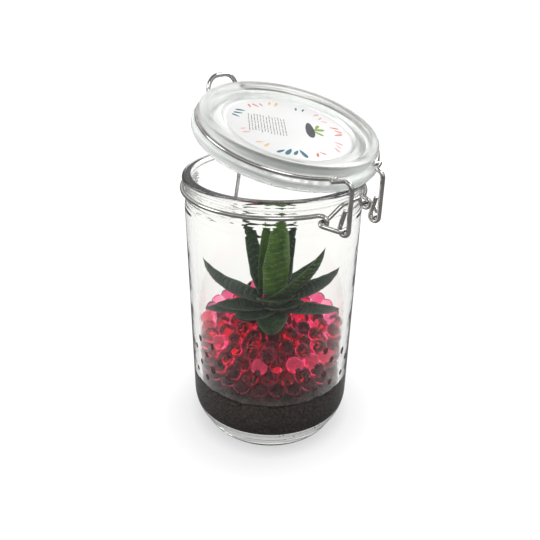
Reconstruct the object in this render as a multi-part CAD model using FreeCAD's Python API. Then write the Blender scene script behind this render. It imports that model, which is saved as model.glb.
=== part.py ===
import FreeCAD, Part
import math
import os

# Swing-top glass jar used as a planter, in millimetres.
# The origin is the centre of the jar's foot, on the jar's axis, and +Z is up.
# The lid's hinge is on the +X side, the closing bail on the -X side.
# The jar stands as it is used for display, with the lid ajar.

# Glass jar
rim_radius = 52.0
rim_height = 5.3
rim_flare = 1.6
rim_rounding = 2.2
lip_width = 5.3
neck_inset = 1.3
neck_height = 10.0
shoulder_inset = 0.8
shoulder_height = 147.0
shoulder_run = 4.0
wall = 4.2
wall_taper = 0.9
heel_height = 14.0
heel_rounding = 22.0
foot_inset = 7.6
foot_rounding = 2.0
foot_width = 6.0
foot_recess = 1.6
floor_height = 6.5
floor_inset = 8.6
floor_fillet = 5.0
inner_heel_height = 17.0
inner_heel_rounding = 20.0
soft_edge = 0.8
close_enough = 0.001

# Wires
wire_radius = 1.25
link_wire_radius = 1.2
pin_clearance = 0.3
seat_gap = 0.3
ring_gap = 0.2
neck_wire_drop = 2.8
bend_radius = 3.0
tight_bend = 2.2
eye_place = 19.0
eye_turn = 215.0

# Hinge link
link_length = 10.4
link_rest_angle = -20.0
link_closed_angle = -34.0
link_base_angle = 84.0
link_base_depth = 7.4
link_base_half = 7.5
link_base_bend = 4.0
link_exit_place = 14.3
link_arm_place = 24.4
link_far_place = 17.2
link_tip_place = 11.2

# Lid
flange_overhang = 0.2
lid_flange_rounding = 1.6
lid_inset = 2.9
lid_edge_rounding = 1.8
lid_rim_width = 4.4
lid_rim_slope = 2.3
lid_height = 12.0
lid_groove_depth = 6.0
lid_ring_inset = 2.5
ledge_width = 5.4
ledge_depth = 3.2
panel_slope = 1.6
panel_depth = 5.2
plug_clearance = 2.1
plug_slope = 2.0
plug_depth = 6.0
plug_rounding = 2.0
plug_rim_width = 5.6
dish_depth = 2.6
dish_slope = 4.0
gasket_thickness = 1.2
gasket_clearance = 0.6
gasket_inset = 0.8
label_margin = 1.2
label_thickness = 0.25
lid_tilt = 16.0

# Lid wire
leg_place = 13.7
leg_bend = 4.0
leg_exit_bend = 4.0
leg_slant = 16.0
hook_tip_height = 10.5
hook_lean = 14.5
tab_half_width = 11.2
tab_rise = 7.2
tab_reach = 5.6
tab_bend = 8.6

# Closing bail
bail_length = 30.0
bail_arm_place = 22.9
bail_far_place = 18.5
bail_tip_place = 15.8
bail_corner = 6.5

# Filling
soil_height = 39.0
bead_radius = 5.0
bead_rows = 3
bead_gap = 0.25
fill_gap = 0.25
root_radius = 9.5

# Plant, its heights measured from the top of the packed beads
plant_height = 86.8
crown_radius = 7.5
crown_height_share = 0.332
leaf_thickness_share = 0.23
leaf_tip_width = 0.9
leaf_start_share = 0.8

UP = FreeCAD.Vector(0, 0, 1)
ORIGIN = FreeCAD.Vector(0, 0, 0)
ACROSS = FreeCAD.Vector(0, 1, 0)


def save(shape, name):
    shape.exportStep("parts/" + name + ".step")
    print(name, len(shape.Solids), round(shape.Volume, 1), shape.isValid())


def rounded_edges(corners):
    """Edges of a run through points, each corner rounded by its own radius."""
    edges = []
    start = corners[0][0]
    for index in range(1, len(corners) - 1):
        before, (point, radius), after = corners[index - 1][0], corners[index], corners[index + 1][0]
        if radius <= 0:
            edges.append(Part.LineSegment(start, point).toShape())
            start = point
            continue
        back = (before - point).normalize()
        ahead = (after - point).normalize()
        half_turn = (math.pi - back.getAngle(ahead)) / 2
        reach = radius * math.tan(half_turn)
        first = point + back * reach
        last = point + ahead * reach
        inward = (back + ahead).normalize()
        middle = point + inward * (radius / math.cos(half_turn) - radius)
        if start.distanceToPoint(first) > close_enough:
            edges.append(Part.LineSegment(start, first).toShape())
        edges.append(Part.Arc(first, middle, last).toShape())
        start = last
    end = corners[-1][0]
    if start.distanceToPoint(end) > close_enough:
        edges.append(Part.LineSegment(start, end).toShape())
    return edges


def other_half(corners):
    """The same corners on the other side of the hinge plane, in reverse order."""
    return [(FreeCAD.Vector(point.x, -point.y, point.z), radius) for point, radius in reversed(corners)]


def revolved(corners):
    """A solid of revolution about the jar's axis from (radius, height, rounding) corners."""
    points = [(FreeCAD.Vector(radius, 0, height), rounding) for radius, height, rounding in corners]
    edges = rounded_edges(points)
    first, last = points[0][0], points[-1][0]
    edges.append(Part.LineSegment(last, first).toShape())
    face = Part.Face(Part.Wire(edges))
    return face.revolve(ORIGIN, UP, 360)


def turned(center, start, axis, degrees):
    """The arc that start describes when it turns about an axis through center."""
    turn = FreeCAD.Rotation(axis, degrees)
    half = FreeCAD.Rotation(axis, degrees / 2)
    arm = start - center
    end = center + turn.multVec(arm)
    return Part.Arc(start, center + half.multVec(arm), end).toShape(), end


def bent_wire(edges, radius):
    """A round wire along tangent lines and arcs, with flat ends."""
    path = Part.Wire(Part.__sortEdges__(edges))
    first = path.OrderedEdges[0]
    start = path.OrderedVertexes[0].Point
    at_start = first.valueAt(first.FirstParameter).distanceToPoint(start) < close_enough
    tangent = first.tangentAt(first.FirstParameter if at_start else first.LastParameter)
    ring = Part.Wire(Part.Circle(start, tangent, radius).toShape())
    return path.makePipeShell([ring], True, False)


def mirrored(edges, normal):
    return [edge.mirror(ORIGIN, normal) for edge in edges]


# Places that several pieces share
neck_radius = rim_radius - neck_inset
shoulder_radius = rim_radius - shoulder_inset
heel_radius = shoulder_radius - wall_taper
mouth_radius = rim_radius - lip_width
foot_radius = heel_radius - foot_inset
foot_inner_radius = foot_radius - foot_width
groove_top = shoulder_height + shoulder_run + neck_height
rim_top = groove_top + rim_height
neck_wire_height = groove_top - neck_wire_drop
lid_flange_radius = rim_radius + flange_overhang
lid_radius = lid_flange_radius - lid_inset
lid_ring_radius = lid_flange_radius - lid_ring_inset
plug_radius = mouth_radius - plug_clearance
eye_radius = link_wire_radius + pin_clearance + wire_radius
neck_ring_radius = neck_radius + ring_gap + wire_radius
eye_arc = neck_ring_radius + bend_radius
eye_bearing = math.asin((eye_place + bend_radius) / eye_arc)
eye_x = eye_arc * math.cos(eye_bearing)
eye_z = neck_wire_height - eye_radius


def on_link(distance, across, degrees):
    angle = math.radians(degrees)
    return FreeCAD.Vector(eye_x + distance * math.cos(angle), across, eye_z + distance * math.sin(angle))


lid_top = rim_top + seat_gap + gasket_thickness + lid_height
bed_top = soil_height + fill_gap + bead_rows * bead_radius * math.sqrt(3)
crown_height = bed_top + crown_height_share * plant_height
pivot_closed = on_link(link_length, 0, link_closed_angle)
pivot_rest = on_link(link_length, 0, link_rest_angle)


def ajar(shape):
    """Moves a lid piece from the closed lid to the lid as it stands."""
    shape.translate(pivot_rest - pivot_closed)
    shape.rotate(pivot_rest, ACROSS, lid_tilt)
    return shape


def glass_jar():
    inner_foot = heel_radius - wall
    inner_shoulder = shoulder_radius - wall
    return revolved([
        (0, foot_recess, 0),
        (foot_inner_radius, foot_recess, soft_edge),
        (foot_inner_radius + foot_recess, 0, soft_edge),
        (foot_radius, 0, foot_rounding),
        (heel_radius, heel_height, heel_rounding),
        (shoulder_radius, shoulder_height, shoulder_run),
        (neck_radius, shoulder_height + shoulder_run, soft_edge),
        (neck_radius, groove_top, soft_edge),
        (rim_radius, groove_top + rim_flare, soft_edge),
        (rim_radius, rim_top, rim_rounding),
        (mouth_radius, rim_top, rim_rounding),
        (mouth_radius, shoulder_height + shoulder_run, soft_edge),
        (inner_shoulder, shoulder_height, shoulder_run),
        (inner_foot, inner_heel_height, inner_heel_rounding),
        (inner_foot - floor_inset, floor_height, floor_fillet),
        (0, floor_height, 0),
    ])


def neck_wire(side):
    """Half of the neck ring, with an eye curled at each end."""
    quarter = FreeCAD.Vector(0, neck_ring_radius, neck_wire_height)
    arc, bend_start = turned(UP * neck_wire_height, quarter, UP, math.degrees(eye_bearing) - 90)
    bend_center = FreeCAD.Vector(eye_x, eye_place + bend_radius, neck_wire_height)
    bend, eye_start = turned(bend_center, bend_start, UP, 90 - math.degrees(eye_bearing))
    curl, end = turned(FreeCAD.Vector(eye_x, eye_place, eye_z), eye_start, ACROSS, eye_turn)
    half = [arc, bend, curl]
    shape = bent_wire(half + mirrored(half, FreeCAD.Vector(1, 0, 0)), wire_radius)
    return shape if side > 0 else shape.mirror(ORIGIN, ACROSS)


def hinge_link():
    base_angle = link_rest_angle + link_base_angle
    half = [
        (on_link(link_length, link_tip_place, link_rest_angle), 0),
        (on_link(link_length, link_far_place, link_rest_angle), tight_bend),
        (on_link(0, link_arm_place, link_rest_angle), tight_bend),
        (on_link(0, link_exit_place, link_rest_angle), bend_radius),
        (on_link(link_base_depth, link_base_half, base_angle), link_base_bend),
    ]
    return bent_wire(rounded_edges(half + other_half(half)), link_wire_radius)


def closing_bail():
    """The wire bail that swings up over the lid's tab, hanging against the glass."""
    lean = math.asin((shoulder_radius + wire_radius + seat_gap - eye_x) / bail_length)
    far_x = -eye_x - bail_length * math.sin(lean)
    far_z = eye_z - bail_length * math.cos(lean)
    half = [
        (FreeCAD.Vector(-eye_x, bail_tip_place, eye_z), 0),
        (FreeCAD.Vector(-eye_x, bail_arm_place, eye_z), tight_bend),
        (FreeCAD.Vector(far_x, bail_far_place, far_z), bail_corner),
    ]
    return bent_wire(rounded_edges(half + other_half(half)), link_wire_radius)


def glass_lid():
    seat = lid_top - lid_height
    groove = lid_top - lid_groove_depth
    groove_radius = lid_ring_radius - wire_radius - ring_gap
    groove_half = wire_radius + ring_gap
    plug_tip_radius = plug_radius - plug_slope
    dish_radius = plug_tip_radius - plug_rim_width
    ledge_radius = lid_radius - lid_rim_width - lid_rim_slope
    step_radius = ledge_radius - ledge_width
    lid = revolved([
        (0, seat - plug_depth + dish_depth, 0),
        (dish_radius - dish_slope, seat - plug_depth + dish_depth, soft_edge),
        (dish_radius, seat - plug_depth, soft_edge),
        (plug_tip_radius, seat - plug_depth, plug_rounding),
        (plug_radius, seat, soft_edge / 2),
        (lid_flange_radius, seat, lid_flange_rounding),
        (lid_flange_radius, groove - groove_half, lid_flange_rounding),
        (groove_radius, groove - groove_half, soft_edge),
        (groove_radius, groove + groove_half, soft_edge),
        (lid_radius, groove + groove_half, soft_edge),
        (lid_radius, lid_top, lid_edge_rounding),
        (lid_radius - lid_rim_width, lid_top, lid_edge_rounding),
        (ledge_radius, lid_top - ledge_depth, soft_edge),
        (step_radius, lid_top - ledge_depth, soft_edge),
        (step_radius - panel_slope, lid_top - panel_depth, soft_edge),
        (0, lid_top - panel_depth, 0),
    ])
    return ajar(lid)


def lid_gasket():
    seat = lid_top - lid_height
    low = UP * (seat - gasket_thickness)
    outer = Part.makeCylinder(rim_radius - gasket_inset, gasket_thickness, low)
    hole = Part.makeCylinder(plug_radius + gasket_clearance, gasket_thickness, low)
    return ajar(outer.cut(hole))


def lid_label():
    ledge_radius = lid_radius - lid_rim_width - lid_rim_slope
    label_radius = ledge_radius - ledge_width - panel_slope - label_margin
    return ajar(Part.makeCylinder(label_radius, label_thickness, UP * (lid_top - panel_depth)))


def lid_wire():
    """One wire round the lid's groove: two hooked legs at the hinge, a tab at the bail."""
    height = lid_top - lid_groove_depth
    slant = math.radians(leg_slant)
    down = FreeCAD.Vector(math.sin(slant), 0, -math.cos(slant))
    outward = FreeCAD.Vector(math.cos(slant), 0, math.sin(slant))
    leg_arc = lid_ring_radius + leg_exit_bend
    leg_bearing = math.asin((leg_place + leg_exit_bend) / leg_arc)
    exit_x = leg_arc * math.cos(leg_bearing)
    hook_center = pivot_closed + ACROSS * leg_place
    hook_start = hook_center + outward * eye_radius
    run = (height - hook_start.z) / math.cos(slant)
    corner = hook_start - down * run
    exit_point = FreeCAD.Vector(exit_x, leg_place, height)
    leg = rounded_edges([(exit_point, 0), (corner, leg_bend), (hook_start, 0)])
    hook, hook_end = turned(hook_center, hook_start, ACROSS, 180 + hook_lean)
    tip_way = FreeCAD.Rotation(ACROSS, 180 + hook_lean).multVec(down)
    tip = Part.LineSegment(hook_end, hook_end + tip_way * hook_tip_height).toShape()

    tab_arc = lid_ring_radius + bend_radius
    tab_bearing = math.asin((tab_half_width + bend_radius) / tab_arc)
    tab_x = tab_arc * math.cos(tab_bearing)
    tab_start = FreeCAD.Vector(-tab_x, tab_half_width, height)
    tab_turn = FreeCAD.Vector(-tab_x - tight_bend, tab_half_width, height)
    tab_top = FreeCAD.Vector(-tab_x - tab_reach, tab_half_width, height + tab_rise)
    tab_half = [(tab_start, 0), (tab_turn, tight_bend), (tab_top, tab_bend)]
    tab = rounded_edges(tab_half + other_half(tab_half))

    leg_way = FreeCAD.Vector(math.cos(leg_bearing), math.sin(leg_bearing), 0)
    leg_start = leg_way * lid_ring_radius + UP * height
    leg_center = FreeCAD.Vector(exit_x, leg_place + leg_exit_bend, height)
    leg_out, out_end = turned(leg_center, leg_start, UP, 90 - math.degrees(leg_bearing))
    sweep = 180 - math.degrees(leg_bearing) - math.degrees(tab_bearing)
    ring, ring_end = turned(UP * height, leg_start, UP, sweep)
    tab_center = FreeCAD.Vector(-tab_x, tab_half_width + bend_radius, height)
    tab_out, tab_end = turned(tab_center, ring_end, UP, math.degrees(tab_bearing) - 90)
    half = [tip, hook] + leg + [leg_out, ring, tab_out]
    return ajar(bent_wire(half + tab + mirrored(half, ACROSS), wire_radius))


def inner_radius(height):
    share = height / shoulder_height
    return (heel_radius + (shoulder_radius - heel_radius) * share) - wall


def soil():
    low = floor_height + fill_gap
    return revolved([
        (0, low, 0),
        (inner_radius(low) - floor_inset - fill_gap, low, floor_fillet),
        (inner_radius(inner_heel_height) - fill_gap, inner_heel_height + fill_gap, inner_heel_rounding),
        (inner_radius(soil_height) - fill_gap, soil_height, 0),
        (0, soil_height, 0),
    ])


def bead_bed():
    """The packed lower rows of beads, as one mass round the root ball."""
    low = soil_height + fill_gap
    bed = revolved([
        (root_radius + fill_gap, low, 0),
        (inner_radius(low) - fill_gap, low, 0),
        (inner_radius(bed_top) - fill_gap, bed_top, 0),
        (root_radius + fill_gap, bed_top, 0),
    ])
    return bed


def water_beads():
    """The loose top row of beads, in rings from the glass inwards."""
    height = bed_top + bead_radius
    pitch = 2 * bead_radius + bead_gap
    ring_radius = inner_radius(height) - fill_gap - bead_radius
    beads = []
    while ring_radius > root_radius + 2 * bead_radius:
        count = int(2 * math.pi * ring_radius / pitch)
        for index in range(count):
            angle = 2 * math.pi * index / count
            center = FreeCAD.Vector(ring_radius * math.cos(angle), ring_radius * math.sin(angle), height)
            beads.append(Part.makeSphere(bead_radius, center))
        ring_radius -= pitch
    return Part.Compound(beads)


def plant_crown():
    """The root ball in the beads and the short stem that carries the leaves."""
    return revolved([
        (0, soil_height + fill_gap, 0),
        (root_radius, soil_height + fill_gap, bend_radius),
        (root_radius, bed_top, bend_radius),
        (crown_radius, bed_top + bend_radius, soft_edge),
        (crown_radius / 2, crown_height, bend_radius),
        (0, crown_height, 0),
    ])


# Each leaf: bearing, how far its tip reaches (share of the inner radius), how high its tip
# stands, where it starts and how wide it is (shares of the plant height), rise of its middle
leaf_shares = {
    "leaf_01": (232, 0.90, 0.168, 0.133, 0.166, 0.35),
    "leaf_02": (31, 0.92, 0.185, 0.133, 0.175, 0.35),
    "leaf_03": (312, 0.72, 0.150, 0.142, 0.228, 0.40),
    "leaf_04": (275, 0.70, 0.229, 0.150, 0.228, 0.35),
    "leaf_05": (245, 0.77, 0.255, 0.168, 0.201, 0.35),
    "leaf_06": (350, 0.62, 0.334, 0.177, 0.245, 0.40),
    "leaf_07": (219, 0.93, 0.518, 0.203, 0.201, 0.30),
    "leaf_08": (50, 0.94, 0.439, 0.203, 0.210, 0.32),
    "leaf_09": (74, 0.76, 0.439, 0.220, 0.193, 0.40),
    "leaf_10": (113, 0.78, 0.509, 0.212, 0.175, 0.35),
    "leaf_11": (156, 0.74, 0.614, 0.220, 0.175, 0.35),
    "leaf_12": (325, 0.50, 0.334, 0.238, 0.271, 0.55),
    "leaf_13": (358, 0.84, 0.770, 0.255, 0.250, 0.45),
    "leaf_14": (186, 0.48, 0.915, 0.255, 0.180, 0.45),
    "leaf_15": (88, 0.44, 0.807, 0.255, 0.158, 0.50),
    "leaf_16": (350, 0.18, 0.947, 0.299, 0.245, 0.60),
    "leaf_17": (180, 0.13, 0.825, 0.299, 0.193, 0.60),
}
leaf_station_shares = (0.0, 0.3, 0.6, 0.85, 1.0)
leaf_width_shares = (0.90, 1.0, 0.70, 0.34, 0.0)


def leaf(name):
    """A thick, pointed leaf: crescent sections along a curve from the crown to the tip."""
    bearing, reach_share, tip_share, start_share, width_share, rise_share = leaf_shares[name]
    tip_radius = reach_share * inner_radius(shoulder_height)
    tip_height = bed_top + tip_share * plant_height
    start_height = bed_top + start_share * plant_height
    start_radius = crown_radius * leaf_start_share
    start = FreeCAD.Vector(start_radius, 0, start_height)
    tip = FreeCAD.Vector(tip_radius, 0, tip_height)
    middle_radius = start_radius + (tip_radius - start_radius) * (1 - rise_share / 2)
    middle = FreeCAD.Vector(middle_radius, 0, start_height + (tip_height - start_height) * rise_share)
    width = width_share * plant_height
    sections = []
    for station, breadth in zip(leaf_station_shares, leaf_width_shares):
        rest = 1 - station
        center = start * rest * rest + middle * 2 * rest * station + tip * station * station
        along = (middle - start) * rest + (tip - middle) * station
        slope = math.atan2(along.z, along.x)
        half = max(width * breadth, leaf_tip_width) / 2
        thickness = 2 * half * leaf_thickness_share
        upper = FreeCAD.Vector(-math.sin(slope), 0, math.cos(slope))
        left = center + ACROSS * half + upper * thickness / 2
        right = center - ACROSS * half + upper * thickness / 2
        top = Part.Arc(left, center + upper * thickness / 4, right).toShape()
        bottom = Part.Arc(right, center - upper * thickness / 2, left).toShape()
        sections.append(Part.Wire([top, bottom]))
    shape = Part.makeLoft(sections, True, False)
    shape.rotate(ORIGIN, UP, bearing)
    return shape


def main():
    os.makedirs("parts", exist_ok=True)
    save(glass_jar(), "glass_jar")
    save(neck_wire(-1), "neck_wire_front")
    save(neck_wire(1), "neck_wire_back")
    save(hinge_link(), "hinge_link")
    save(closing_bail(), "closing_bail")
    save(glass_lid(), "glass_lid")
    save(lid_gasket(), "lid_gasket")
    save(lid_label(), "lid_label")
    save(lid_wire(), "lid_wire")
    save(soil(), "soil")
    save(bead_bed(), "bead_bed")
    save(water_beads(), "water_beads")
    crown = plant_crown()
    save(crown, "plant_crown")
    grown = [crown]
    for name in leaf_shares:
        piece = leaf(name).cut(grown)
        piece = max(piece.Solids, key=lambda solid: solid.Volume)
        grown.append(piece)
        save(piece, name)


main()
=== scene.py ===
from math import asin, atan2, cos, degrees, hypot, pi, radians, sin, sqrt, tan, tau

import bmesh
import bpy
import numpy
from mathutils import Matrix, Vector, noise


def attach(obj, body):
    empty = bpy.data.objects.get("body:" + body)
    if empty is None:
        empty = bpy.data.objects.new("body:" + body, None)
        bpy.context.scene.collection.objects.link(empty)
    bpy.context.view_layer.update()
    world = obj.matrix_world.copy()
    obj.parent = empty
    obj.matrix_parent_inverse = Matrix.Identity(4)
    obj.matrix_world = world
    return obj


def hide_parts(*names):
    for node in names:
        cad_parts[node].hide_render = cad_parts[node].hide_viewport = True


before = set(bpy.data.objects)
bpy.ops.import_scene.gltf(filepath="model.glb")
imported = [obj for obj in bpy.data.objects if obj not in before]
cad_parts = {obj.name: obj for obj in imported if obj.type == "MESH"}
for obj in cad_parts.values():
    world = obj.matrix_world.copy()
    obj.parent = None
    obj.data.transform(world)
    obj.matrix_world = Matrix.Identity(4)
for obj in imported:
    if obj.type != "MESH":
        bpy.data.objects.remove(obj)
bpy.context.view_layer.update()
scene = bpy.context.scene
mm = 0.001
weld = 0.001 * mm  # points closer than this are one
upward = Vector((0, 0, 1))
across = Vector((0, 1, 0))
luck = numpy.random.default_rng(11)
print("frame loaded:", len(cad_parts), "nodes")


# helpers for meshes and materials

def addObject(name, data):
    thing = bpy.data.objects.new(name, data)
    scene.collection.objects.link(thing)
    return thing


def finishPiece(name, bm, material, body, slot, *cadNodes, smooth=True):
    mesh = bpy.data.meshes.new(name)
    bm.to_mesh(mesh)
    bm.free()
    mesh.materials.append(material)
    mesh.polygons.foreach_set("use_smooth", [smooth] * len(mesh.polygons))
    piece = addObject(name, mesh)
    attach(piece, body)
    if cadNodes:
        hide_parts(*cadNodes)
    return piece


def lathe(corners, steps, roundSteps=5):
    # a profile of (radius, height, rounding) corners in mm, spun round the jar's axis
    bm = bmesh.new()
    chain = [bm.verts.new((radius * mm, 0, height * mm)) for radius, height, rounding in corners]
    for pair in zip(chain, chain[1:]):
        bm.edges.new(pair)
    for place in range(1, len(corners) - 1):
        rounding = corners[place][2] * mm
        if rounding <= 0:
            continue
        back = chain[place - 1].co - chain[place].co
        ahead = chain[place + 1].co - chain[place].co
        reach = rounding * tan((pi - back.angle(ahead)) / 2)
        made = bmesh.ops.bevel(
            bm, geom=[chain[place]], offset=reach, offset_type="OFFSET", affect="VERTICES",
            segments=roundSteps, profile=0.5, material=-1, clamp_overlap=False)
        made["verts"].sort(key=lambda vert: (vert.co - (chain[place - 1].co)).length)
        chain[place] = made["verts"][-1]
    bmesh.ops.spin(
        bm, geom=bm.verts[:] + bm.edges[:], cent=(0, 0, 0), axis=upward,
        angle=tau, steps=steps, use_merge=True)
    bmesh.ops.remove_doubles(bm, verts=bm.verts, dist=weld)
    bmesh.ops.recalc_face_normals(bm, faces=bm.faces)
    return bm


def turned(angle, axis, size=4):
    return Matrix.Rotation(radians(angle), size, axis)


def arcPoints(centre, start, axis, angle, step=6):
    count = max(2, round(abs(angle) / step))
    arm = start - centre
    return [centre + turned(angle * share / count, axis, 3) @ arm
            for share in range(count + 1)]


def roundedPoints(corners, step=8):
    # points along straight runs whose corners are rounded by (point, radius)
    points = [corners[0][0]]
    for (before, _), (corner, radius), (after, _) in zip(corners, corners[1:], corners[2:]):
        back, ahead = (before - corner).normalized(), (after - corner).normalized()
        halfTurn = (pi - back.angle(ahead)) / 2
        first = corner + back * radius * tan(halfTurn)
        middle = corner + (back + ahead).normalized() * radius / cos(halfTurn)
        axis = (first - middle).cross(corner - middle).normalized()
        points += arcPoints(middle, first, axis, degrees(2 * halfTurn), step)
    return points + [corners[-1][0]]


def otherHalf(items):
    # the same corners or points beyond the hinge plane, in reverse order
    if isinstance(items[0], tuple):
        return [(Vector((point.x, -point.y, point.z)), radius) for point, radius in reversed(items)]
    return [Vector((point.x, -point.y, point.z)) for point in reversed(items)]


wireFinish = {"resolution": 5, "leastStep": 0.02, "capBevel": 0.3}


def wirePiece(name, points, radius, body, cadNode, move=None):
    # a bright wire along the points in mm, with its two cut ends slightly rounded
    curve = bpy.data.curves.new(name, "CURVE")
    curve.dimensions = "3D"
    spline = curve.splines.new("POLY")
    kept = [points[0]] + [point for last, point in zip(points, points[1:])
                          if (point - last).length > wireFinish["leastStep"]]
    spline.points.add(len(kept) - 1)
    for place, point in zip(spline.points, kept):
        place.co = (*(point * mm), 1)
    curve.bevel_depth = radius * mm
    curve.bevel_resolution = wireFinish["resolution"]
    curve.use_fill_caps = True
    shape = bpy.data.objects.new(name + "Path", curve)
    mesh = bpy.data.meshes.new_from_object(shape)
    bpy.data.objects.remove(shape)
    bm = bmesh.new()
    bm.from_mesh(mesh)
    bmesh.ops.remove_doubles(bm, verts=bm.verts, dist=weld)
    capEdges = [edge for edge in bm.edges if len(edge.link_faces) == 2 and edge.calc_face_angle(0) > 1]
    bmesh.ops.bevel(
        bm, geom=capEdges, offset=radius * wireFinish["capBevel"] * mm, offset_type="OFFSET",
        affect="EDGES", segments=2, profile=0.5, material=-1)
    if move:
        bm.transform(move)
    bmesh.ops.recalc_face_normals(bm, faces=bm.faces)
    return finishPiece(name, bm, brightSteel, body, "bright_wire", cadNode)


class Tree:
    # short names for building one node tree

    def __init__(self, owner):
        self.tree = owner
        self.nodes = owner.nodes

    def add(self, kind, fixed=None, **linked):
        node = self.nodes.new(kind if kind.startswith("NodeGroup") else "ShaderNode" + kind)
        for name, value in (fixed or {}).items():
            if hasattr(node, name):
                setattr(node, name, value)
            else:
                node.inputs[name].default_value = value
        for name, source in linked.items():
            self.link(source, node.inputs[name.replace("_", " ")])
        return node

    def link(self, source, target):
        self.tree.links.new(source, target)

    def feed(self, source, socket):
        # a link where the source is a socket, and otherwise a fixed value
        if isinstance(source, bpy.types.NodeSocket):
            self.link(source, socket)
        else:
            socket.default_value = source

    def place(self):
        return self.add("TexCoord").outputs["Object"]

    def span(self, source, fromLow, fromHigh, low, high):
        node = self.add("MapRange", {"From Min": fromLow, "From Max": fromHigh, "To Min": low,
                                     "To Max": high}, Value=source)
        return node.outputs["Result"]

    def show(self, source, socket="Surface"):
        self.link(source, self.nodes["Material Output"].inputs[socket])

    def combine(self, operation, first, second):
        node = self.add("Math", {"operation": operation})
        self.feed(first, node.inputs[0])
        self.feed(second, node.inputs[1])
        return node.outputs[0]

    def blend(self, share, first, second, colour=False):
        node = self.add("Mix", {"data_type": "RGBA" if colour else "FLOAT"})
        start = 6 if colour else 2
        for place, source in ((0, share), (start, first), (start + 1, second)):
            self.feed(source, node.inputs[place])
        return node.outputs[2 if colour else 0]


def newMaterial(name):
    material = bpy.data.materials.new(name)
    material.use_nodes = True
    tree = Tree(material.node_tree)
    shader = tree.nodes["Principled BSDF"]
    return material, tree, shader


def setLook(shader, look):
    for socket, value in look.items():
        shader.inputs[socket].default_value = value


def letLampsThrough(tree, shader, tint):
    # lamps reach what stands behind or inside the clear piece
    path = tree.add("LightPath")
    clear = tree.add("BsdfTransparent", {"Color": (*tint, 1)})
    mix = tree.add("MixShader")
    tree.link(path.outputs["Is Shadow Ray"], mix.inputs[0])
    tree.link(shader.outputs[0], mix.inputs[1])
    tree.link(clear.outputs[0], mix.inputs[2])
    tree.show(mix.outputs[0])


def absorb(tree, tint, density):
    inside = tree.add("VolumeAbsorption", {"Color": (*tint, 1), "Density": density})
    tree.show(inside.outputs[0], "Volume")


def effectGroup(name, inputs, outputs):
    group = bpy.data.node_groups.new(name, "ShaderNodeTree")
    for label, kind, value in inputs:
        socket = group.interface.new_socket(label, in_out="INPUT", socket_type=kind)
        if value is not None:
            socket.default_value = value
    for label, kind in outputs:
        group.interface.new_socket(label, in_out="OUTPUT", socket_type=kind)
    tree = Tree(group)
    return group, tree, tree.add("NodeGroupInput").outputs, tree.add("NodeGroupOutput").inputs


def makeUneven():
    # soft noise in the object's own space: a value round 0.5 and a normal
    group, tree, given, result = effectGroup(
        "unevenSurface",
        [("Scale", "NodeSocketFloat", 100.0), ("Detail", "NodeSocketFloat", 2.0),
         ("Height", "NodeSocketFloat", 0.1), ("Depth", "NodeSocketFloat", 0.001)],
        [("Value", "NodeSocketFloat"), ("Normal", "NodeSocketVector")])
    cloud = tree.add("TexNoise", Vector=tree.place(), Scale=given["Scale"], Detail=given["Detail"])
    bump = tree.add("Bump", Height=cloud.outputs["Fac"],
                    Strength=given["Height"], Distance=given["Depth"])
    tree.link(cloud.outputs["Fac"], result["Value"])
    tree.link(bump.outputs["Normal"], result["Normal"])
    return group


speckRarity = 0.7  # share of the grains that show no speck


def makeColourDrift():
    # two colours that wander into each other, with fine specks of a third
    group, tree, given, result = effectGroup(
        "colourDrift",
        [("First", "NodeSocketColor", None), ("Second", "NodeSocketColor", None),
         ("Speck", "NodeSocketColor", None), ("Scale", "NodeSocketFloat", 100.0),
         ("Speck Scale", "NodeSocketFloat", 900.0), ("Speck Size", "NodeSocketFloat", 0.1)],
        [("Color", "NodeSocketColor")])
    place = tree.place()
    cloud = tree.add("TexNoise", {"Detail": 4.0}, Vector=place, Scale=given["Scale"])
    spread = tree.span(cloud.outputs["Fac"], 0.35, 0.65, 0, 1)
    drift = tree.blend(spread, given["First"], given["Second"], colour=True)
    grains = tree.add("TexVoronoi", Vector=place, Scale=given["Speck Scale"])
    near = tree.combine("LESS_THAN", grains.outputs["Distance"], given["Speck Size"])
    chosen = tree.add("SeparateColor", Color=grains.outputs["Color"])
    rare = tree.combine("GREATER_THAN", chosen.outputs["Red"], speckRarity)
    both = tree.combine("MULTIPLY", near, rare)
    tree.link(tree.blend(both, drift, given["Speck"], colour=True), result["Color"])
    return group


unevenSurface = makeUneven()
colourDrift = makeColourDrift()


def addUneven(tree, scale, height, depth, detail=2.0):
    return tree.add("Group", {
        "node_tree": unevenSurface, "Scale": scale, "Height": height, "Depth": depth, "Detail": detail})


def addDrift(tree, first, second, speck, scale, speckScale=900.0, speckSize=0.1):
    return tree.add("Group", {
        "node_tree": colourDrift, "First": (*first, 1), "Second": (*second, 1), "Speck": (*speck, 1),
        "Scale": scale, "Speck Scale": speckScale, "Speck Size": speckSize})


def paintSurface(tree, shader, look):
    # the colours, unevenness, roughness and gloss that a material's dictionary gives
    if "colours" in look:
        drift = addDrift(tree, *look["colours"], *look["drift"])
        tree.link(drift.outputs["Color"], shader.inputs["Base Color"])
    if "uneven" in look:
        uneven = addUneven(tree, *look["uneven"])
        tree.link(uneven.outputs["Normal"], shader.inputs["Normal"])
    if isinstance(look["rough"], tuple):
        tree.link(tree.span(uneven.outputs["Value"], 0.3, 0.7, *look["rough"]),
                  shader.inputs["Roughness"])
    else:
        shader.inputs["Roughness"].default_value = look["rough"]
    if "gloss" in look:
        shader.inputs["Specular IOR Level"].default_value = look["gloss"]


def paintedMaterial(name, look):
    material, tree, shader = newMaterial(name)
    paintSurface(tree, shader, look)
    return material


# camera, light and floor

photoView = {"azimuth": 42.0, "pitch": 27.12, "roll": 0.95, "distance": 369.7,
             "aim": (-0.951, -0.856, 102.93), "lens": 40.0, "sensor": 36.0}


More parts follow.
